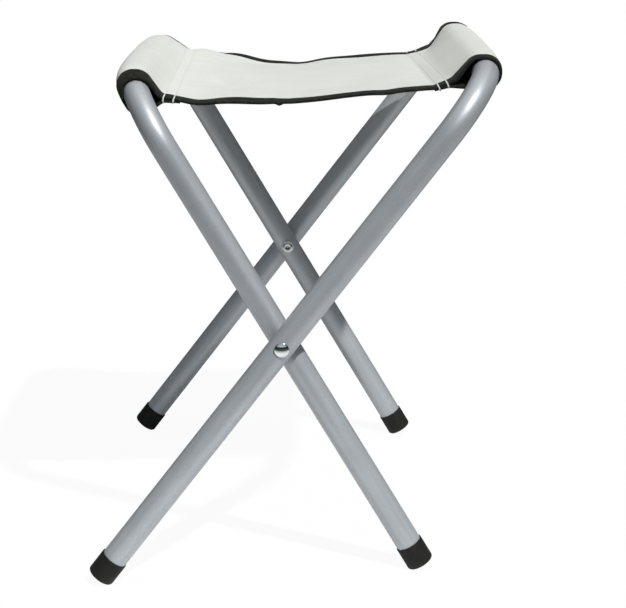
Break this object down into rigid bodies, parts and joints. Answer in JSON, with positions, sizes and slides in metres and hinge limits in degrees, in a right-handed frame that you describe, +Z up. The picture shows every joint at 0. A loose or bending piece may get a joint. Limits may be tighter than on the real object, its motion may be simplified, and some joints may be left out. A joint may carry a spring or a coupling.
{
  "type": "folding camp stool",
  "caption": "Folding camp stool: two crossed U-bent steel tubes, riveted at the sides, with a canvas sling seat sleeved on both top bars and rubber caps on the feet.",
  "frame": {"origin": "on the floor, under the middle of the stool's box", "axes": "+Z up; +Y along the rivet axis and the top bars, from front to rear; +X towards the outer frame's top bar"},
  "size_m": [0.3085, 0.3844, 0.379],
  "materials": {
    "painted_steel": "satin silver-grey paint",
    "zinc_plated_steel": "bright zinc plate",
    "black_rubber": "matt moulded rubber",
    "nylon": "plain white nylon",
    "canvas": "off-white woven canvas",
    "binding_tape": "black woven binding tape"
  },
  "bodies": {
    "outer_frame": {"outer_tube": "painted_steel", "outer_foot_front": "black_rubber", "outer_foot_rear": "black_rubber", "rivet_front": "zinc_plated_steel", "rivet_rear": "zinc_plated_steel", "spacer_front": "nylon", "spacer_rear": "nylon", "tail_washer_front": "zinc_plated_steel", "tail_washer_rear": "zinc_plated_steel", "seat_panel": "canvas", "outer_sleeve": "canvas", "panel_binding_front": "binding_tape", "panel_binding_rear": "binding_tape", "outer_sleeve_binding_front": "binding_tape", "outer_sleeve_binding_rear": "binding_tape"},
    "inner_frame": {"inner_tube": "painted_steel", "inner_foot_front": "black_rubber", "inner_foot_rear": "black_rubber", "inner_sleeve": "canvas", "inner_sleeve_binding_front": "binding_tape", "inner_sleeve_binding_rear": "binding_tape"}
  },
  "joints": [
    {"name": "fold", "type": "hinge", "parent": "outer_frame", "child": "inner_frame", "pos_m": [-0.00917, 0, 0.1792], "axis": [0, 1, 0], "range_deg": [0, 68], "deforming": ["seat_panel", "panel_binding_front", "panel_binding_rear", "outer_sleeve", "outer_sleeve_binding_front", "outer_sleeve_binding_rear"]}
  ]
}
